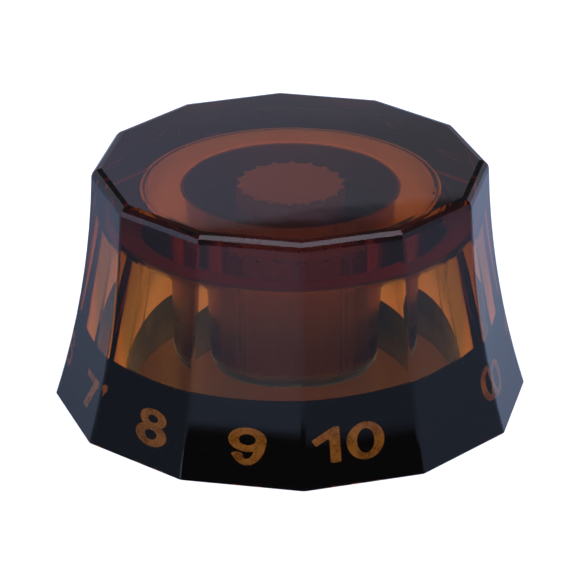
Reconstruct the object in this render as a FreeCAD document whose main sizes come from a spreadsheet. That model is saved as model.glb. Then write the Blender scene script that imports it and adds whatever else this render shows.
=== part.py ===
import FreeCAD, Part
import math
import os
import Sketcher

os.makedirs("parts", exist_ok=True)
doc = FreeCAD.newDocument("control_knob")
V = FreeCAD.Vector
CLEARANCE = 1.0           # how far a cutting outline passes the stock
LEAST_CUT = 0.1           # a cut that takes less than this many mm3 has missed
SAME = 1e-3               # two lengths closer than this are the same
UPRIGHT = 5.0             # an edge between two facets is taller than this
ON_CORNER = 0.05          # and lies this close to the facets' corner line


# --------------------------------------------------------------------------
# Dimensions in millimetres and degrees.  +Z is up, the rim stands on Z = 0,
# the numeral 9 looks along -Y.
# --------------------------------------------------------------------------
SIZES = {
    # outside: twelve facets, each swept by one concave arc
    "facets": 12,
    "height": 13.42,
    "baseflat": 12.58,        # axis to facet at the rim
    "topflat": 10.49,         # axis to facet at the top
    "flareradius": 50.1,      # radius of the concave flare
    "blankradius": 14.0,      # round blank the facets are cut from
    "topround": 0.55,         # the top edge's rounding, cut as a few narrow flats
    "topflats": 3,
    "edgeround": 0.5,         # softening of the twelve upright edges
    # underside: conical hollow around a hanging boss
    "hollowrim": 10.6,
    "hollowroof": 8.17,
    "roof": 9.85,
    "roofround": 0.45,
    "bossroot": 5.8,
    "bossend": 5.3,
    "bossfloor": 2.5,
    "bossfillet": 0.3,
    "bossround": 1.0,
    # splined socket for a 6 mm split shaft
    "splines": 18,
    "splinetip": 2.75,        # radius of the lands
    "splineroot": 3.0,        # radius of the groove bottoms
    "splinehalf": 0.42,       # half width of a groove at its inner end
    "splineinset": 0.17,      # its inner end lies this far inside the lands
    "boreroof": 10.1,
    "leadwide": 3.4,
    "leadtall": 0.55,
    # print on the inside of the skirt
    "inkthick": 0.1,          # lacquer over the wall
    "inkshare": 0.5,          # the part of that depth which the numerals take
    "bandtop": 3.85,
    "printheight": 4.6,       # cone height the print is cut from
    "printtilt": 1.2,         # the print sits slightly out of level
    "tiltazimuth": 101.5,     # its high side, from -Y towards +X
    "numeralmid": 1.4,
    "numeralpitch": 30,
    "numeralturn": -0.6,
    "zeroturn": -2.5,         # these three were stamped a little nearer to the 9
    "seventurn": 1.5,
    "tenturn": -1.3,
    "stencilclear": 1.0,      # how far an outline's prism passes the ink layer
}

sheet = doc.addObject("Spreadsheet::Sheet", "Sizes")
for row, (alias, value) in enumerate(SIZES.items(), start=1):
    sheet.set("A%d" % row, alias)
    sheet.set("B%d" % row, str(value))
    sheet.setAlias("B%d" % row, alias)
doc.recompute()


def size(alias):
    return float(getattr(sheet, alias))


# --------------------------------------------------------------------------
# Helpers
# --------------------------------------------------------------------------
def origin_feature(body, role):
    for feature in body.Origin.OriginFeatures:
        if feature.Role == role:
            return feature
    raise RuntimeError("no origin feature " + role)


def attach(sketch, body, role, offset=None):
    sketch.AttachmentSupport = [(origin_feature(body, role), "")]
    sketch.MapMode = "FlatFace"
    if offset is not None:
        sketch.AttachmentOffset = offset


def closed_lines(sketch, points):
    """Draw a closed polygon of lines and join its corners."""
    count = len(points)
    first = sketch.GeometryCount
    for i in range(count):
        start = V(points[i][0], points[i][1], 0)
        end = V(points[(i + 1) % count][0], points[(i + 1) % count][1], 0)
        sketch.addGeometry(Part.LineSegment(start, end), False)
    for i in range(count):
        follower = first + (i + 1) % count
        sketch.addConstraint(Sketcher.Constraint("Coincident", first + i, 2, follower, 1))
    return first


def pin(sketch, geometry, point, x=None, y=None):
    """Fix one point of the sketch to sheet values or plain numbers."""
    for kind, value in (("DistanceX", x), ("DistanceY", y)):
        if value is None:
            continue
        number = size(value) if isinstance(value, str) else value
        index = sketch.addConstraint(
            Sketcher.Constraint(kind, -1, 1, geometry, point, number))
        if isinstance(value, str):
            sketch.setExpression("Constraints[%d]" % index, "Sizes." + value)


def recompute(what):
    doc.recompute()
    for obj in doc.Objects:
        state = " ".join(obj.State)
        if "Invalid" in state or "Error" in state:
            raise RuntimeError("%s: %s is %s" % (what, obj.Name, state))


def must_shrink(before, after):
    """Stop if the latest cut took nothing off."""
    if not after.Shape.Volume < before.Shape.Volume - LEAST_CUT:
        raise RuntimeError("%s removed nothing" % after.Label)


def circle_edges(shape, radius, z):
    """Names of the circular edges of one radius at one height."""
    names = []
    for i, edge in enumerate(shape.Edges, start=1):
        curve = edge.Curve
        if not isinstance(curve, Part.Circle):
            continue
        if abs(curve.Radius - radius) < SAME and abs(curve.Center.z - z) < SAME:
            names.append("Edge%d" % i)
    return names


# --------------------------------------------------------------------------
# 1. The moulding
# --------------------------------------------------------------------------
def flare_centre():
    """Centre of the flare arc in the (radius, height) plane, outside the knob."""
    low = V(size("baseflat"), 0, 0)
    high = V(size("topflat"), size("height"), 0)
    middle = (low + high) * 0.5
    chord = high - low
    outward = V(chord.y, -chord.x, 0).normalize()
    rise = math.sqrt(size("flareradius") ** 2 - (chord.Length / 2) ** 2)
    return middle + outward * rise


def flare_at(z):
    centre = flare_centre()
    return centre.x - math.sqrt(size("flareradius") ** 2 - (z - centre.y) ** 2)


def build_moulding():
    body = doc.addObject("PartDesign::Body", "knob_body")
    body.Label = "knob_body"

    outline = body.newObject("Sketcher::SketchObject", "blank_outline")
    attach(outline, body, "XY_Plane")
    outline.addGeometry(Part.Circle(V(0, 0, 0), V(0, 0, 1), size("blankradius")), False)
    outline.addConstraint(Sketcher.Constraint("Coincident", 0, 3, -1, 1))
    ring = outline.addConstraint(Sketcher.Constraint("Radius", 0, size("blankradius")))
    outline.setExpression("Constraints[%d]" % ring, "Sizes.blankradius")
    recompute("blank outline")

    blank = body.newObject("PartDesign::Pad", "blank")
    blank.Profile = outline
    blank.setExpression("Length", "Sizes.height")
    recompute("blank")

    facets = cut_facets(body, blank)
    hollow = cut_hollow(body, facets)
    softened = soften_hollow(body, hollow)
    socket = cut_socket(body, softened)
    soften_uprights(body, socket)
    return body


def top_flats():
    """Corners of the flats from the top face down to the flare, as (radius, height)."""
    centre = flare_centre()
    rounding = size("topround")
    middle_z = size("height") - rounding
    reach = size("flareradius") + rounding
    middle = V(centre.x - math.sqrt(reach ** 2 - (middle_z - centre.y) ** 2), middle_z, 0)
    last = math.atan2(centre.y - middle.y, centre.x - middle.x)
    count = int(size("topflats"))
    corners = []
    for i in range(count + 1):
        angle = math.pi / 2 + (last - math.pi / 2) * i / count
        corners.append(middle + V(math.cos(angle), math.sin(angle), 0) * rounding)
    return corners


def cut_facets(body, blank):
    """One facet is everything outside the flare arc and the flats of the top edge."""
    height = size("height")
    flats = top_flats()
    knee = flats[-1]
    foot = V(flare_at(0), 0, 0)
    outer = size("blankradius") + CLEARANCE
    centre = flare_centre()

    profile = body.newObject("Sketcher::SketchObject", "facet_profile")
    attach(profile, body, "XZ_Plane")
    start = math.atan2(knee.y - centre.y, knee.x - centre.x) % (2 * math.pi)
    end = math.atan2(foot.y - centre.y, foot.x - centre.x) % (2 * math.pi)
    arc = Part.ArcOfCircle(
        Part.Circle(centre, V(0, 0, 1), size("flareradius")), start, end)
    profile.addGeometry(arc, False)                                          # 0
    corners = [foot, V(outer, 0, 0), V(outer, height, 0)] + flats
    for near, far in zip(corners, corners[1:]):
        profile.addGeometry(Part.LineSegment(near, far), False)
    lines = len(corners) - 1
    for line in range(lines):
        profile.addConstraint(Sketcher.Constraint("Coincident", line, 2, line + 1, 1))
    profile.addConstraint(Sketcher.Constraint("Coincident", lines, 2, 0, 1))
    profile.addConstraint(Sketcher.Constraint("Horizontal", 1))
    profile.addConstraint(Sketcher.Constraint("Vertical", 2))
    profile.addConstraint(Sketcher.Constraint("Horizontal", 3))
    pin(profile, 1, 1, "baseflat", 0.0)
    pin(profile, 2, 1, outer)
    pin(profile, 3, 1, None, "height")
    bend = profile.addConstraint(Sketcher.Constraint("Radius", 0, size("flareradius")))
    profile.setExpression("Constraints[%d]" % bend, "Sizes.flareradius")
    pin(profile, 4, 1, flats[0].x)
    for line, corner in enumerate(flats[1:], start=4):
        pin(profile, line, 2, corner.x, corner.y)
    recompute("facet profile")

    facet = body.newObject("PartDesign::Pocket", "facet")
    facet.Profile = profile
    facet.Type = "ThroughAll"
    facet.Midplane = True
    recompute("facet")
    must_shrink(blank, facet)

    ring = body.newObject("PartDesign::PolarPattern", "facet_ring")
    ring.Originals = [facet]
    ring.Axis = (origin_feature(body, "Z_Axis"), [""])
    ring.Angle = 360
    ring.setExpression("Occurrences", "Sizes.facets")
    body.Tip = ring
    recompute("facet ring")
    return ring


def cut_hollow(body, before):
    """Conical skirt hollow that leaves a boss hanging from the roof."""
    profile = body.newObject("Sketcher::SketchObject", "hollow_profile")
    attach(profile, body, "XZ_Plane")
    corners = [
        (0.0, 0.0),
        ("hollowrim", 0.0),
        ("hollowroof", "roof"),
        ("bossroot", "roof"),
        ("bossend", "bossfloor"),
        (0.0, "bossfloor"),
    ]
    numbers = [
        tuple(size(v) if isinstance(v, str) else v for v in corner) for corner in corners]
    closed_lines(profile, numbers)
    for i, (x, y) in enumerate(corners):
        pin(profile, i, 1, x, y)
    recompute("hollow profile")

    hollow = body.newObject("PartDesign::Groove", "hollow")
    hollow.Profile = profile
    hollow.ReferenceAxis = (profile, ["V_Axis"])
    hollow.Angle = 360
    recompute("hollow")
    must_shrink(before, hollow)
    return hollow


def soften_hollow(body, before):
    latest = before
    for name, radius, ring_radius, ring_z in (
            ("roof_round", "roofround", "hollowroof", "roof"),
            ("boss_fillet", "bossfillet", "bossroot", "roof"),
            ("boss_round", "bossround", "bossend", "bossfloor")):
        edges = circle_edges(latest.Shape, size(ring_radius), size(ring_z))
        if not edges:
            raise RuntimeError("no edge for " + name)
        fillet = body.newObject("PartDesign::Fillet", name)
        fillet.Base = (latest, edges)
        fillet.setExpression("Radius", "Sizes." + radius)
        recompute(name)
        latest = fillet
    return latest


def cut_socket(body, before):
    """Blind bore with V grooves; it opens downwards through the boss."""
    mouth = FreeCAD.Placement(V(0, 0, size("bossfloor")), FreeCAD.Rotation())

    bore_outline = body.newObject("Sketcher::SketchObject", "bore_outline")
    attach(bore_outline, body, "XY_Plane", mouth)
    bore_outline.setExpression("AttachmentOffset.Base.z", "Sizes.bossfloor")
    bore_outline.addGeometry(Part.Circle(V(0, 0, 0), V(0, 0, 1), size("splinetip")), False)
    bore_outline.addConstraint(Sketcher.Constraint("Coincident", 0, 3, -1, 1))
    ring = bore_outline.addConstraint(
        Sketcher.Constraint("Radius", 0, size("splinetip")))
    bore_outline.setExpression("Constraints[%d]" % ring, "Sizes.splinetip")
    recompute("bore outline")
    bore = body.newObject("PartDesign::Pocket", "bore")
    bore.Profile = bore_outline
    bore.Reversed = True
    bore.setExpression("Length", "Sizes.boreroof - Sizes.bossfloor")
    recompute("bore")
    must_shrink(before, bore)

    inner = size("splinetip") - size("splineinset")
    half = size("splinehalf")
    groove_outline = body.newObject("Sketcher::SketchObject", "groove_outline")
    attach(groove_outline, body, "XY_Plane", mouth)
    groove_outline.setExpression("AttachmentOffset.Base.z", "Sizes.bossfloor")
    closed_lines(groove_outline, [(size("splineroot"), 0), (inner, half), (inner, -half)])
    pin(groove_outline, 0, 1, "splineroot", 0.0)
    pin(groove_outline, 1, 1, inner, "splinehalf")
    pin(groove_outline, 2, 1, inner, -half)
    recompute("groove outline")
    groove = body.newObject("PartDesign::Pocket", "spline_groove")
    groove.Profile = groove_outline
    groove.Reversed = True
    groove.setExpression("Length", "Sizes.boreroof - Sizes.bossfloor")
    recompute("spline groove")
    must_shrink(bore, groove)

    ring = body.newObject("PartDesign::PolarPattern", "spline_ring")
    ring.Originals = [groove]
    ring.Axis = (origin_feature(body, "Z_Axis"), [""])
    ring.Angle = 360
    ring.setExpression("Occurrences", "Sizes.splines")
    body.Tip = ring
    recompute("spline ring")

    lead = body.newObject("Sketcher::SketchObject", "lead_profile")
    attach(lead, body, "XZ_Plane")
    floor = size("bossfloor")
    top = floor + size("leadtall")
    closed_lines(lead, [(0, floor), (size("leadwide"), floor), (size("splinetip"), top), (0, top)])
    pin(lead, 0, 1, 0.0, "bossfloor")
    pin(lead, 1, 1, "leadwide", "bossfloor")
    pin(lead, 2, 1, "splinetip", top)
    pin(lead, 3, 1, 0.0, top)
    recompute("lead profile")
    lead_in = body.newObject("PartDesign::Groove", "lead_in")
    lead_in.Profile = lead
    lead_in.ReferenceAxis = (lead, ["V_Axis"])
    lead_in.Angle = 360
    recompute("lead in")
    must_shrink(ring, lead_in)
    return lead_in


def soften_uprights(body, before):
    """Small round on the upright edges between facets."""
    corner = 1.0 / math.cos(math.pi / size("facets"))
    names = []
    for i, edge in enumerate(before.Shape.Edges, start=1):
        box = edge.BoundBox
        if box.ZLength < UPRIGHT:
            continue
        middle = edge.valueAt((edge.FirstParameter + edge.LastParameter) / 2)
        radius = math.hypot(middle.x, middle.y)
        if abs(radius - flare_at(middle.z) * corner) < ON_CORNER:
            names.append("Edge%d" % i)
    if len(names) != int(size("facets")):
        raise RuntimeError("found %d upright edges" % len(names))
    fillet = body.newObject("PartDesign::Fillet", "upright_round")
    fillet.Base = (before, names)
    fillet.setExpression("Radius", "Sizes.edgeround")
    recompute("upright round")
    return fillet


# --------------------------------------------------------------------------
# 2. The print: eleven gold numerals laid on the inside of the skirt, and a dark
#    lacquer band laid over them, which covers their backs.
# --------------------------------------------------------------------------
FRONT_NUMERAL = 9
TALL = 1.09       # half height of a numeral
WIDE = 0.95       # half width of a round numeral
STEM = 0.53       # stroke of an upright
BAR = 0.38        # stroke of a level
TIP = 0.09        # rounding of a stroke's corners
STRETCH = (1.10, 0.93)    # across and up, laid over every finished numeral


def oval(u, v, half_width, half_height):
    """A filled ellipse."""
    if half_width >= half_height:
        ends = V(u + half_width, v, 0), V(u, v + half_height, 0)
    else:
        ends = V(u, v + half_height, 0), V(u - half_width, v, 0)
    return Part.Face(Part.Wire(Part.Ellipse(ends[0], ends[1], V(u, v, 0)).toShape()))


def loop(u, v, half_width, half_height, stem=STEM, bar=BAR):
    """An oval stroke that is wider at its sides than at its top and bottom."""
    return oval(u, v, half_width, half_height).cut(
        oval(u, v, half_width - stem, half_height - bar))


def patch(points, rounding=0.0):
    """A filled polygon, its corners rounded by arcs."""
    corners = [V(u, v, 0) for u, v in points]
    turns = sum(corners[i - 1].cross(corners[i]).z for i in range(len(corners)))
    if turns < 0:
        corners.reverse()
    if rounding == 0:
        return Part.Face(Part.makePolygon(corners + corners[:1]))
    count = len(corners)
    arcs = []
    for i, corner in enumerate(corners):
        back = (corners[i - 1] - corner).normalize()
        ahead = (corners[(i + 1) % count] - corner).normalize()
        half_angle = back.getAngle(ahead) / 2
        reach = rounding / math.tan(half_angle)
        inward = (back + ahead).normalize()
        near = corner + inward * (rounding / math.sin(half_angle) - rounding)
        arcs.append((corner + back * reach, near, corner + ahead * reach))
    edges = []
    for i, (start, near, end) in enumerate(arcs):
        edges.append(Part.Arc(start, near, end).toShape())
        edges.append(Part.makeLine(end, arcs[(i + 1) % count][0]))
    return Part.Face(Part.Wire(edges))


def joined(*shapes):
    faces = [face for shape in shapes for face in shape.Faces]
    return faces[0].multiFuse(faces[1:]).removeSplitter()


def turned(face):
    """The same glyph upside down."""
    copy = face.copy()
    copy.rotate(V(0, 0, 0), V(0, 0, 1), 180)
    return copy


def zero():
    return loop(0, 0, 0.98, TALL)


def one():
    top = TALL - 0.05
    stem_left = 0.12
    return patch([
        (stem_left, -top), (stem_left + STEM, -top), (stem_left + STEM, top),
        (0.34, top), (-0.78, 0.30), (-0.56, -0.06), (stem_left, 0.40)], TIP)


def two():
    shoulder = loop(0, 0.42, WIDE, TALL - 0.42)
    hook = shoulder.common(patch([(-1.2, 0.42), (1.2, 0.42), (1.2, 1.2), (-1.2, 1.2)]))
    elbow = shoulder.common(patch([(0, 0.5), (1.2, 0.5), (1.2, 0.1), (0.2, 0.1)]))
    cap = oval(-WIDE + STEM / 2, 0.42, STEM / 2, BAR / 2)
    slope = patch([(0.15, 0.02), (0.84, 0.20), (-0.20, -0.75), (-0.95, -0.75)])
    foot = patch([(-0.95, -1.04), (0.95, -1.04), (0.95, -0.62), (-0.95, -0.62)], TIP)
    return joined(hook, elbow, cap, slope, foot)


def three():
    upper = loop(0, 0.50, 0.86, TALL - 0.50)
    lower = loop(0, -0.43, 0.97, TALL - 0.43)
    mouth = patch([(-1.3, 0.46), (-0.05, 0.50), (-0.05, -0.44), (-1.3, -0.40)])
    bridge = patch([(-0.34, -0.12), (0.4, -0.12), (0.4, 0.24), (-0.34, 0.24)], TIP)
    return joined(joined(upper, lower).cut(mouth), bridge)


def four():
    stem = patch([(0.14, -1.04), (0.75, -1.04), (0.75, 1.04), (0.14, 1.04)], TIP)
    bar = patch([(-1.0, -0.66), (1.0, -0.66), (1.0, -0.26), (-1.0, -0.26)], TIP)
    slope = patch([(-1.0, -0.40), (-0.42, -0.40), (0.66, 1.04), (0.10, 1.04)], 0.04)
    return joined(stem, bar, slope)


def five():
    top = patch([(-0.72, 0.64), (0.84, 0.64), (0.84, 1.04), (-0.72, 1.04)], TIP)
    side = patch([(-0.80, -0.05), (-0.24, -0.05), (-0.17, 0.90), (-0.713, 0.90)], 0.04)
    bowl = loop(0, -0.36, WIDE, TALL - 0.36)
    mouth = patch([(-1.3, 0.0), (-0.24, -0.10), (-0.24, -0.45), (-1.3, -0.58)])
    return joined(bowl.cut(mouth), side, top)


def seven():
    top = patch([(-0.93, 0.64), (0.93, 0.64), (0.93, 1.04), (-0.93, 1.04)], TIP)
    slope = patch([(0.26, 0.70), (0.92, 0.80), (0.02, -1.04), (-0.62, -1.04)], TIP)
    return joined(top, slope)


def eight():
    upper = oval(0, 0.53, 0.87, TALL - 0.53)
    lower = oval(0, -0.42, 1.02, TALL - 0.42)
    return joined(upper, lower).cut(oval(0, 0.52, 0.33, 0.22)).cut(oval(0, -0.41, 0.39, 0.28))


def nine():
    middle = 0.39
    bowl = loop(0, middle, WIDE, TALL - middle)
    sweep = loop(0, middle, WIDE, TALL + middle)
    right = sweep.common(patch([(0, -1.2), (1.2, -1.2), (1.2, middle), (0, middle)]))
    tail = sweep.common(patch([(-1.2, -1.2), (0, -1.2), (0, -0.5), (-1.2, -0.5)]))
    cap = oval(-0.474, -0.5, 0.30, 0.15)
    return joined(bowl, right, tail, cap)


def six():
    return turned(nine())


def ten():
    left = one()
    left.translate(V(-1.05, 0, 0))
    right = zero()
    right.translate(V(0.90, 0, 0))
    return Part.Compound([left, right])


GLYPHS = [zero, one, two, three, four, five, six, seven, eight, nine, ten]
OWN_TURN = {0: "zeroturn", 7: "seventurn", 10: "tenturn"}


def stretched(glyph):
    """The glyph's faces, widened and lowered."""
    matrix = FreeCAD.Matrix()
    matrix.scale(STRETCH[0], STRETCH[1], 1)
    faces = []
    for face in glyph.Faces:
        wires = [wire.transformGeometry(matrix) for wire in face.Wires]
        faces.append(Part.makeFace(wires, "Part::FaceMakerBullseye"))
    return Part.Compound(faces) if len(faces) > 1 else faces[0]


def add_cone(name, shrink):
    """A frustum along the skirt wall, moved inwards by an expression."""
    cone = doc.addObject("Part::Cone", name)
    cone.setExpression("Radius1", "Sizes.hollowrim - " + shrink)
    cone.setExpression("Radius2", (
        "Sizes.hollowrim - (Sizes.hollowrim - Sizes.hollowroof)"
        " * Sizes.printheight / Sizes.roof - ") + shrink)
    cone.setExpression("Height", "Sizes.printheight")
    return cone


def print_rise(azimuth):
    """How far the tilt lifts the print at one azimuth."""
    turn = math.radians(azimuth - size("tiltazimuth"))
    return size("hollowrim") * math.tan(math.radians(size("printtilt"))) * math.cos(turn)


def add_shell(name, depth):
    """The lining of the skirt wall between its surface and a depth."""
    surface = add_cone(name + "_outside", "0 * Sizes.inkthick")
    behind = add_cone(name + "_inside", depth)
    recompute(name + " cones")
    shell = doc.addObject("Part::Cut", name)
    shell.Base = surface
    shell.Tool = behind
    recompute(name)
    return shell


def build_print():
    ink_layer = add_shell("ink_layer", "Sizes.inkshare * Sizes.inkthick")
    numerals = []
    for number, glyph in enumerate(GLYPHS):
        azimuth = (number - FRONT_NUMERAL) * size("numeralpitch") + size("numeralturn")
        if number in OWN_TURN:
            azimuth += size(OWN_TURN[number])
        upright = FreeCAD.Rotation(V(1, 0, 0), 90)
        around = FreeCAD.Rotation(V(0, 0, 1), azimuth)
        outward = around.multVec(V(0, -1, 0))
        lift = V(0, 0, size("numeralmid") + print_rise(azimuth))
        start = size("hollowroof") - size("stencilclear")
        outline = doc.addObject("Part::Feature", "outline_%d" % number)
        outline.Shape = stretched(glyph())
        outline.Placement = FreeCAD.Placement(outward * start + lift, around.multiply(upright))
        prism = doc.addObject("Part::Extrusion", "prism_%d" % number)
        prism.Base = outline
        prism.DirMode = "Custom"
        prism.Dir = outward
        prism.Solid = True
        prism.setExpression(
            "LengthFwd", "Sizes.hollowrim - Sizes.hollowroof + 2 * Sizes.stencilclear")
        numeral = doc.addObject("Part::MultiCommon", "numeral_%d" % number)
        numeral.Label = "numeral_%d" % number
        numeral.Shapes = [ink_layer, prism]
        recompute("numeral %d" % number)
        numerals.append(numeral)

    below = doc.addObject("Part::Cylinder", "below_band_edge")
    below.setExpression("Radius", "Sizes.blankradius")
    below.setExpression("Height", "Sizes.bandtop + Sizes.roof")
    lean = FreeCAD.Rotation(V(0, 0, 1), size("tiltazimuth")).multVec(V(1, 0, 0))
    turn = FreeCAD.Rotation(lean, -size("printtilt"))
    below.Placement = FreeCAD.Placement(turn.multVec(V(0, 0, -size("roof"))), turn)
    lacquer_layer = add_shell("lacquer_layer", "Sizes.inkthick")
    blank = doc.addObject("Part::MultiCommon", "band_blank")
    blank.Shapes = [lacquer_layer, below]
    all_numerals = doc.addObject("Part::MultiFuse", "all_numerals")
    all_numerals.Shapes = numerals
    band = doc.addObject("Part::Cut", "dial_band")
    band.Label = "dial_band"
    band.Base = blank
    band.Tool = all_numerals
    recompute("dial band")
    return [band] + numerals


# --------------------------------------------------------------------------
# 3. Check every piece and write it
# --------------------------------------------------------------------------
pieces = [build_moulding()] + build_print()
recompute("finished")
for piece in pieces:
    shape = piece.Shape
    if shape.isNull() or not shape.isValid() or not shape.Solids:
        raise RuntimeError(piece.Label + " has no valid solid")
for piece in pieces:
    piece.Shape.exportStep("parts/%s.step" % piece.Label)
    low = piece.Shape.BoundBox
    print("%-12s solids %d  volume %9.3f  z %.2f..%.2f" % (
        piece.Label, len(piece.Shape.Solids), piece.Shape.Volume, low.ZMin, low.ZMax))
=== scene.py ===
import math

import bpy
from mathutils import Matrix, Vector


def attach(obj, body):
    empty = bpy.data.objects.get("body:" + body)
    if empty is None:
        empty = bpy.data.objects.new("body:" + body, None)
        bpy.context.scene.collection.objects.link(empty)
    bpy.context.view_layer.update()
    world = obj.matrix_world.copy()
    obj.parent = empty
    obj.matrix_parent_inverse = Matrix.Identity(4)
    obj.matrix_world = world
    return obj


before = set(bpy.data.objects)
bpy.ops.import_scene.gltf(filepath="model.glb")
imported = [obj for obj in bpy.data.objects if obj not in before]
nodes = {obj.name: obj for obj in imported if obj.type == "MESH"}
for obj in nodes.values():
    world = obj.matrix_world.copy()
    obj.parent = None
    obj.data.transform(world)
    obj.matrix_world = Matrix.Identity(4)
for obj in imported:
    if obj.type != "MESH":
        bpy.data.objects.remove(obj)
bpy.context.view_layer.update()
MM = 0.001


# ---------------------------------------------------------------- node helpers
class Graph:
    """Short calls for building a node tree."""

    def __init__(self, tree):
        self.tree = tree
        self.tree.nodes.clear()

    def add(self, kind, values=None, **settings):
        node = self.tree.nodes.new(kind)
        for name, value in settings.items():
            setattr(node, name, value)
        for socket, value in (values or {}).items():
            self.put(node.inputs[socket], value)
        return node

    def put(self, socket, value):
        if isinstance(value, bpy.types.NodeSocket):
            self.tree.links.new(value, socket)
        else:
            socket.default_value = value

    def math(self, operation, *values):
        node = self.add("ShaderNodeMath", operation=operation)
        for i, value in enumerate(values):
            self.put(node.inputs[i], value)
        return node.outputs[0]

    def times(self, first, *others):
        for other in others:
            first = self.math("MULTIPLY", first, other)
        return first

    def plus(self, first, *others):
        for other in others:
            first = self.math("ADD", first, other)
        return first

    def vector(self, operation, *values):
        node = self.add("ShaderNodeVectorMath", operation=operation)
        for i, value in enumerate(values):
            self.put(node.inputs[i], value)
        return node.outputs[0]

    def ramp(self, value, low, high, to_low=0.0, to_high=1.0):
        """A smooth step of value from low to high."""
        node = self.add("ShaderNodeMapRange", interpolation_type="SMOOTHSTEP")
        for i, number in enumerate((value, low, high, to_low, to_high)):
            self.put(node.inputs[i], number)
        return node.outputs[0]

    def noise(self, where, scale, detail=3.0, rough=0.5):
        node = self.add("ShaderNodeTexNoise", {
            "Vector": where, "Scale": scale, "Detail": detail, "Roughness": rough})
        return node.outputs["Fac"]

    def mix(self, factor, first, second):
        node = self.add("ShaderNodeMix", data_type="RGBA")
        self.put(node.inputs[0], factor)
        self.put(node.inputs[6], first)
        self.put(node.inputs[7], second)
        return node.outputs[2]


def new_material(name):
    material = bpy.data.materials.new(name)
    material.use_nodes = True
    return material, Graph(material.node_tree)


def dress(node, material):
    """Gives a CAD node its material."""
    mesh = node.data
    mesh.materials.clear()
    mesh.materials.append(material)


# ------------------------------------------------------------------- materials
# Amber acrylic takes this much light per millimetre, by colour.
AMBER_LOSS = (0.118, 0.315, 0.80)
ACRYLIC_IOR = 1.49
WHITE = (1.0, 1.0, 1.0, 1.0)
BLACK = (0.0, 0.0, 0.0, 1.0)
# Painted shade: a blue-black colour for the foot of the boss.
FOOT_PAINTED_SHADE = (0.03, 0.033, 0.04, 1.0)

# How matt and how milky the plastic is in its zones, over the polished rest.
BOSS_MATT, SOCKET_MATT, ROOF_MATT, FOOT_MATT = 0.20, 0.50, 0.16, 0.45
BOSS_MILKY, SOCKET_ROOF_MILKY, FOOT_MILKY = 0.10, 0.62, 0.85
HAZE_LOW, HAZE_HIGH = 0.002, 0.009
SOCKET_WEAR = 0.75        # how far the socket's grooves are worn soft
ZONE_BLUR = 0.1           # a zone fades out over this distance to either side, in mm
STEEP = (0.50, 0.65)      # a ray's vertical share from which it counts as steep


def amber_zones(g, where):
    """Masks of the moulding's zones, from the distance to its axis and the height."""
    x, y, height = g.add("ShaderNodeSeparateXYZ", {0: where}).outputs
    radius = g.math("SQRT", g.math("ADD", g.math("POWER", x, 2.0), g.math("POWER", y, 2.0)))

    def within(edge):
        return g.ramp(radius, (edge - ZONE_BLUR) * MM, (edge + ZONE_BLUR) * MM, 1.0, 0.0)

    def beyond(edge):
        return g.ramp(radius, (edge - ZONE_BLUR) * MM, (edge + ZONE_BLUR) * MM)

    def above(low, high):
        return g.ramp(height, low * MM, high * MM)

    def below(low, high):
        return g.ramp(height, low * MM, high * MM, 1.0, 0.0)

    zones = {}
    under_roof = below(10.3, 10.6)
    zones["socket"] = g.times(within(3.4), under_roof)
    above_foot = g.math("MAXIMUM", above(3.3, 5.5), zones["socket"])
    zones["boss"] = g.times(within(6.05), under_roof, above_foot)
    zones["socket_roof"] = g.times(zones["socket"], above(9.7, 10.0))
    zones["socket_wall"] = g.math("SUBTRACT", zones["socket"], zones["socket_roof"])
    zones["roof"] = g.times(beyond(6.0), within(8.2), above(9.4, 9.7), under_roof)
    zones["foot"] = g.times(beyond(3.4), within(5.8), below(2.9, 3.9))
    zones["corner"] = g.times(beyond(9.5), above(9.9, 10.2), below(13.38, 13.41))
    zones["haze"] = g.ramp(height, 5.5 * MM, 10.5 * MM, HAZE_LOW, HAZE_HIGH)
    return zones


def towards_axis(g, where, behind):
    """A horizontal normal that points at the knob's axis, turned towards the ray."""
    flat = g.vector("MULTIPLY", where, (-1.0, -1.0, 0.0))
    turned = g.add("ShaderNodeVectorTransform", {0: flat},
                   vector_type="NORMAL", convert_from="OBJECT", convert_to="WORLD")
    turned = g.vector("NORMALIZE", turned.outputs[0])
    side = g.math("SUBTRACT", 1.0, g.times(behind, 2.0))
    return g.add("ShaderNodeVectorMath", {0: turned, "Scale": side}, operation="SCALE").outputs[0]


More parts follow.
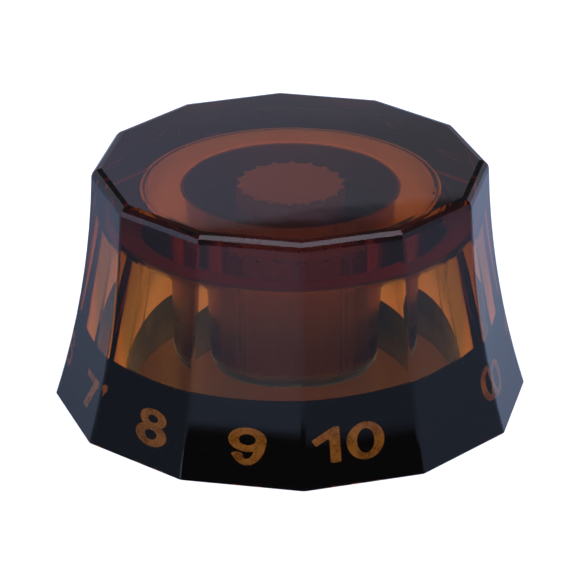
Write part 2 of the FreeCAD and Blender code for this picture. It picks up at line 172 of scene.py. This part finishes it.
def amber_acrylic():
    """Clear amber plastic, polished outside and matt on the boss and in its socket."""
    material, g = new_material("amber_acrylic_moulded")
    where = g.add("ShaderNodeTexCoord").outputs["Object"]
    zones = amber_zones(g, where)
    geometry = g.add("ShaderNodeNewGeometry").outputs
    behind = geometry["Backfacing"]

    polish = g.ramp(g.noise(where, 420.0, 4.0, 0.6), 0.35, 0.75, 0.012, 0.03)
    matt = g.plus(
        g.times(zones["boss"], BOSS_MATT), g.times(zones["socket"], SOCKET_MATT),
        g.times(zones["roof"], ROOF_MATT), g.times(zones["foot"], FOOT_MATT))
    milky = g.plus(
        g.times(zones["boss"], BOSS_MILKY), g.times(zones["socket_roof"], SOCKET_ROOF_MILKY),
        g.times(zones["foot"], FOOT_MILKY), zones["haze"])
    # Painted shade: the foot of the boss is coloured blue-black, and its large milky share lets
    # that colour show.
    colour = g.mix(zones["foot"], WHITE, FOOT_PAINTED_SHADE)

    # Painted shade: steep rays from inside the moulding that meet the corner under its top edge
    # turn black there, as if their light died in that corner.
    slope = g.add("ShaderNodeSeparateXYZ", {0: geometry["Incoming"]}).outputs[2]
    steep = g.ramp(g.math("ABSOLUTE", slope), *STEEP)
    painted_corner_shade = g.times(behind, steep, zones["corner"])
    colour = g.mix(painted_corner_shade, colour, BLACK)
    milky = g.math("MAXIMUM", milky, painted_corner_shade)

    # The grooves of the socket are worn soft: their light turns evenly round.
    ripple = g.noise(where, 260.0, 2.0)
    bump = g.add("ShaderNodeBump", {"Strength": 0.08, "Distance": 0.02 * MM, "Height": ripple})
    normal = g.add("ShaderNodeMix", {
        0: g.times(zones["socket_wall"], SOCKET_WEAR), 4: bump.outputs["Normal"],
        5: towards_axis(g, where, behind)}, data_type="VECTOR")
    shader = g.add("ShaderNodeBsdfPrincipled", {
        "Base Color": colour,
        "Roughness": g.plus(polish, matt),
        "IOR": ACRYLIC_IOR,
        "Transmission Weight": g.math("SUBTRACT", 1.0, milky),
        "Normal": g.vector("NORMALIZE", normal.outputs[1])})
    strongest = max(AMBER_LOSS)
    left = [1.0 - loss / strongest for loss in AMBER_LOSS]
    volume = g.add("ShaderNodeVolumeAbsorption", {
        "Color": (*left, 1.0), "Density": strongest / MM})
    out = g.add("ShaderNodeOutputMaterial")
    g.tree.links.new(shader.outputs[0], out.inputs["Surface"])
    g.tree.links.new(volume.outputs[0], out.inputs["Volume"])
    return material


PAINT_DARK = (0.001, 0.0015, 0.002, 1.0)
PAINT_PALE = (0.004, 0.004, 0.005, 1.0)
BROWN_TOWARDS_RIM = (0.42, 0.36, 0.30, 1.0)


def black_lacquer():
    """Black paint. Its back, inside the skirt, turns brown towards the rim."""
    material, g = new_material("black_lacquer")
    where = g.add("ShaderNodeTexCoord").outputs["Object"]
    flat = g.vector("MULTIPLY", where, (1.0, 1.0, 0.0))
    normal = g.add("ShaderNodeTexCoord").outputs["Normal"]
    outwards = g.add("ShaderNodeVectorMath", {0: flat, 1: normal}, operation="DOT_PRODUCT")
    inside = g.ramp(outwards.outputs["Value"], -3.0 * MM, -1.0 * MM, 1.0, 0.0)
    level = g.add("ShaderNodeSeparateXYZ", {0: where}).outputs[2]
    browned = g.times(inside, g.ramp(level, 0.2 * MM, 2.6 * MM, 1.0, 0.0))
    cloud = g.noise(where, 900.0, 4.0, 0.6)
    speck = g.noise(where, 9000.0, 2.0, 0.5)
    colour = g.mix(browned, g.mix(cloud, PAINT_DARK, PAINT_PALE), BROWN_TOWARDS_RIM)
    bump = g.add("ShaderNodeBump", {"Strength": 0.3, "Distance": 0.01 * MM, "Height": speck})
    shader = g.add("ShaderNodeBsdfPrincipled", {
        "Base Color": colour,
        "Roughness": g.ramp(cloud, 0.3, 0.7, 0.35, 0.5),
        "Specular IOR Level": g.times(inside, 0.5),
        "Normal": bump.outputs["Normal"]})
    out = g.add("ShaderNodeOutputMaterial")
    g.tree.links.new(shader.outputs[0], out.inputs["Surface"])
    return material


INK_WORN = (0.45, 0.36, 0.20, 1.0)
INK_FRESH = (1.0, 0.97, 0.82, 1.0)


def gold_ink():
    """Stamped gold ink, gritty, with dark pinholes."""
    material, g = new_material("gold_ink")
    where = g.add("ShaderNodeTexCoord").outputs["Object"]
    cloud = g.noise(where, 1100.0, 4.0, 0.65)
    grit = g.noise(where, 9000.0, 3.0, 0.7)
    flake = g.add("ShaderNodeTexVoronoi", {"Vector": where, "Scale": 9000.0})
    fresh = g.ramp(g.plus(g.times(cloud, 0.55), g.times(grit, 0.45)), 0.36, 0.60)
    colour = g.mix(fresh, INK_WORN, INK_FRESH)
    bump = g.add("ShaderNodeBump", {
        "Strength": 0.4, "Distance": 0.01 * MM, "Height": flake.outputs["Distance"]})
    shader = g.add("ShaderNodeBsdfPrincipled", {
        "Base Color": colour,
        "Metallic": 0.25,
        "Specular IOR Level": 0.1,
        "Roughness": g.ramp(cloud, 0.3, 0.7, 0.45, 0.65),
        "Normal": bump.outputs["Normal"]})
    out = g.add("ShaderNodeOutputMaterial")
    g.tree.links.new(shader.outputs[0], out.inputs["Surface"])
    return material


ACRYLIC = amber_acrylic()
LACQUER = black_lacquer()
INK = gold_ink()

# The print lies on the skirt wall. A hair's breadth of overlap puts it in optical
# contact with the acrylic, so that light in the wall meets the print first.
BAND_BED = 0.02 * MM
NUMERAL_BED = 0.03 * MM


def bed_into_wall(node, depth):
    grow = node.modifiers.new("optical_contact", "DISPLACE")
    grow.mid_level = 0.0
    grow.strength = depth


dress(nodes["knob_body"], ACRYLIC)
dress(nodes["dial_band"], LACQUER)
bed_into_wall(nodes["dial_band"], BAND_BED)
for number in range(11):
    numeral = nodes["numeral_%d" % number]
    dress(numeral, INK)
    bed_into_wall(numeral, NUMERAL_BED)


# ------------------------------------------------------------- rim's underside
# The lacquer runs on over the flat rim, so that no light comes up through it.
RIM_FACETS = 12
RIM_INNER = 10.62 * MM
RIM_FLAT = 12.42 * MM
RIM_LEVELS = (-0.01 * MM, 0.02 * MM)


def rim_lacquer():
    steps = RIM_FACETS * 6
    mesh = bpy.data.meshes.new("rim_lacquer")
    points = []
    for i in range(steps):
        turn = 2 * math.pi * i / steps
        facet = 2 * math.pi / RIM_FACETS
        off_middle = (turn + facet / 2) % facet - facet / 2
        for reach in (RIM_INNER, RIM_FLAT / math.cos(off_middle)):
            for level in RIM_LEVELS:
                points.append((reach * math.cos(turn), reach * math.sin(turn), level))
    faces = []
    for i in range(steps):
        here, there = 4 * i, 4 * ((i + 1) % steps)
        for a, b in ((0, 2), (2, 3), (3, 1), (1, 0)):
            faces.append((here + a, here + b, there + b, there + a))
    mesh.from_pydata(points, [], faces)
    mesh.materials.append(LACQUER)
    ring = bpy.data.objects.new("rim_lacquer", mesh)
    bpy.context.scene.collection.objects.link(ring)
    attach(ring, "root")


rim_lacquer()

# ---------------------------------------------------------------------- camera
CAMERA_TURN = math.radians(11.777)
CAMERA_RISE = math.radians(25.348)
CAMERA_REACH = 0.2699
CAMERA_LENS = 301.38
AIM_ABOVE = math.radians(1.1416)
AIM_LEFT = math.radians(0.0063)

back = Vector((math.sin(CAMERA_TURN) * math.cos(CAMERA_RISE),
               -math.cos(CAMERA_TURN) * math.cos(CAMERA_RISE),
               math.sin(CAMERA_RISE)))
right = Vector((math.cos(CAMERA_TURN), math.sin(CAMERA_TURN), 0.0))
up = back.cross(right)
facing = Matrix((right, up, back)).transposed()
facing = facing @ Matrix.Rotation(AIM_LEFT, 3, "Y") @ Matrix.Rotation(AIM_ABOVE, 3, "X")
lens = bpy.data.cameras.new("camera")
lens.lens = CAMERA_LENS
lens.sensor_width = 36.0
lens.clip_start = 0.01
lens.clip_end = 20.0
camera = bpy.data.objects.new("camera", lens)
camera.matrix_world = Matrix.Translation(back * CAMERA_REACH) @ facing.to_4x4()
bpy.context.scene.collection.objects.link(camera)
bpy.context.scene.camera = camera


# ----------------------------------------------------------------------- floor
FLOOR_HALF = 4.0
FLOOR_DROP = 0.05 * MM
PAPER = (0.66, 0.80, 1.00, 1.0)
PAPER_LIFT = 0.80                         # how much whiter the camera sees the paper
BOUNCE_UNDER = (0.04, 0.012, 0.005, 1.0)  # extra light from below the knob
BOUNCE_BESIDE = (0.36, 0.14, 0.14, 1.0)   # and from the ring of floor around it
BESIDE = (11 * MM, 14 * MM, 22 * MM, 50 * MM)
FLOOR_GLOW = (0.33, 0.41, 0.62)
# How bright the floor mirrors in the facets, by azimuth from the camera's side.
FLOOR_BY_AZIMUTH = [
    (-180, 1.0), (-140, 0.67), (-80, 0.42), (-55, 0.70), (-23, 1.0), (5, 0.75), (35, 0.58),
    (92, 0.70), (150, 1.05), (180, 1.0)]
HORIZON = -0.05           # the floor fades out about this elevation, degrees
HORIZON_EDGE = 0.9


def seen_from_camera(g, direction):
    """Azimuth from the camera's side and elevation of a direction, in degrees."""
    turned = g.add("ShaderNodeVectorRotate", {
        "Vector": direction, "Axis": (0.0, 0.0, 1.0), "Angle": -CAMERA_TURN},
        rotation_type="AXIS_ANGLE")
    parts = g.add("ShaderNodeSeparateXYZ", {0: turned.outputs[0]})
    x, y, z = parts.outputs[0], parts.outputs[1], parts.outputs[2]
    azimuth = g.math("DEGREES", g.math("ARCTAN2", x, g.math("MULTIPLY", y, -1.0)))
    return azimuth, g.math("DEGREES", g.math("ARCSINE", z))


def pale_floor():
    mesh = bpy.data.meshes.new("floor")
    corners = [(-1, -1), (1, -1), (1, 1), (-1, 1)]
    mesh.from_pydata([(x * FLOOR_HALF, y * FLOOR_HALF, -FLOOR_DROP) for x, y in corners],
                     [], [(0, 1, 2, 3)])
    floor = bpy.data.objects.new("floor", mesh)
    bpy.context.scene.collection.objects.link(floor)
    material, g = new_material("pale_floor")
    place = g.add("ShaderNodeNewGeometry").outputs
    radius = g.add("ShaderNodeVectorMath", {0: place["Position"]}, operation="LENGTH")
    radius = radius.outputs["Value"]
    ray = g.add("ShaderNodeVectorMath", {0: place["Incoming"], "Scale": -1.0}, operation="SCALE")
    azimuth, elevation = seen_from_camera(g, ray.outputs[0])

    # Light mirrored by the outside of the knob.
    share = g.math("DIVIDE", g.math("ADD", azimuth, 180.0), 360.0)
    ramp = g.add("ShaderNodeValToRGB", {"Fac": share})
    stops = ramp.color_ramp.elements
    for angle, level in FLOOR_BY_AZIMUTH:
        stop = {-180: stops[0], 180: stops[-1]}.get(angle) or stops.new((angle + 180.0) / 360.0)
        stop.color = (*[level * c for c in FLOOR_GLOW], 1.0)
    near = g.ramp(elevation, HORIZON - HORIZON_EDGE, HORIZON + HORIZON_EDGE, 1.0, 0.0)
    mirrored = g.add("ShaderNodeEmission", {"Color": ramp.outputs[0], "Strength": near})

    # Light that comes up through the knob.
    paper = g.add("ShaderNodeBsdfDiffuse", {"Color": PAPER})
    beside = g.times(g.ramp(radius, *BESIDE[:2]), g.ramp(radius, *BESIDE[2:], 1.0, 0.0))
    bounce = g.mix(beside, BOUNCE_UNDER, BOUNCE_BESIDE)
    glow = g.add("ShaderNodeEmission", {"Color": bounce, "Strength": 1.0})
    through = g.add("ShaderNodeAddShader", {0: paper.outputs[0], 1: glow.outputs[0]})

    # What the camera sees directly.
    white = g.add("ShaderNodeEmission", {"Color": WHITE, "Strength": PAPER_LIFT})
    seen = g.add("ShaderNodeAddShader", {0: paper.outputs[0], 1: white.outputs[0]})

    path = g.add("ShaderNodeLightPath")
    shader = paper
    for flag, other in (("Is Glossy Ray", mirrored), ("Is Transmission Ray", through),
                        ("Is Camera Ray", seen)):
        shader = g.add("ShaderNodeMixShader", {
            0: path.outputs[flag], 1: shader.outputs[0], 2: other.outputs[0]})
    out = g.add("ShaderNodeOutputMaterial")
    g.tree.links.new(shader.outputs[0], out.inputs["Surface"])
    mesh.materials.append(material)


pale_floor()

# ---------------------------------------------------------------------- studio
# Soft-edged panels on the studio's walls. Angles are in degrees: azimuth runs from the
# camera's side towards its right, and elevation from the floor up. The upper edge may
# lean: it rises by that much per degree of azimuth, near the panel's middle.
#    azimuth, half width, side edge, low, high, level edge, lean, colour
PANELS = [
    (180, 80, 0.5, -20, 23.35, 0.08, 0.12, (0.25, 0.24, 0.29)),  # backdrop
    (221, 41, 3.0, -20, 24.55, 0.08, 0.12, (0.31, 0.31, 0.45)),  # its lighter left half
    (180, 70, 2.0, -20, 22.15, 0.25, 0.0, (0.35, 0.35, 0.46)),   # and its lighter foot
    (-85, 28, 6.0, -20, 20.0, 6.0, 0.0, (0.80, 0.90, 1.30)),     # left wall
    (95, 25, 6.0, -20, 15.0, 6.0, 0.0, (0.25, 0.30, 0.45)),      # right wall
    (7, 62, 3.0, 36, 89.0, 3.0, 0.0, (2.20, 2.00, 2.40)),        # key softbox
    (5, 70, 1.0, -20, HORIZON, HORIZON_EDGE, 0.0, (0.25, 0.31, 0.46)),   # far floor
]
LEAN_REACH = 10.0
ROOM = (0.030, 0.030, 0.035, 1.0)


def studio():
    world = bpy.data.worlds.new("studio")
    world.use_nodes = True
    bpy.context.scene.world = world
    g = Graph(world.node_tree)
    ray = g.add("ShaderNodeTexCoord").outputs["Generated"]
    azimuth, elevation = seen_from_camera(g, ray)
    light = g.add("ShaderNodeRGB").outputs[0]
    light.default_value = ROOM
    for centre, half, side, low, high, edge, lean, colour in PANELS:
        off = g.math("WRAP", g.math("SUBTRACT", azimuth, float(centre)), 180.0, -180.0)
        near = g.math("MAXIMUM", g.math("MINIMUM", off, LEAN_REACH), -LEAN_REACH)
        below = g.math("SUBTRACT", elevation, g.times(near, lean))
        inside = g.times(
            g.ramp(g.math("ABSOLUTE", off), half - side, half + side, 1.0, 0.0),
            g.ramp(elevation, low - edge, low + edge),
            g.ramp(below, high - edge, high + edge, 1.0, 0.0))
        light = g.mix(inside, light, (*colour, 1.0))
    hall = g.add("ShaderNodeBackground", {"Color": light, "Strength": 1.0})
    seen = g.add("ShaderNodeBackground", {"Color": WHITE, "Strength": 1.0})
    path = g.add("ShaderNodeLightPath")
    both = g.add("ShaderNodeMixShader", {
        0: path.outputs["Is Camera Ray"], 1: hall.outputs[0], 2: seen.outputs[0]})
    out = g.add("ShaderNodeOutputWorld")
    g.tree.links.new(both.outputs[0], out.inputs["Surface"])


studio()

# Light crosses many acrylic faces on its way through the knob.
cycles = bpy.context.scene.cycles
cycles.max_bounces = 40
cycles.transmission_bounces = 32
cycles.glossy_bounces = 16
cycles.diffuse_bounces = 4
cycles.sample_clamp_indirect = 4.0
bpy.context.scene.view_settings.view_transform = "Standard"
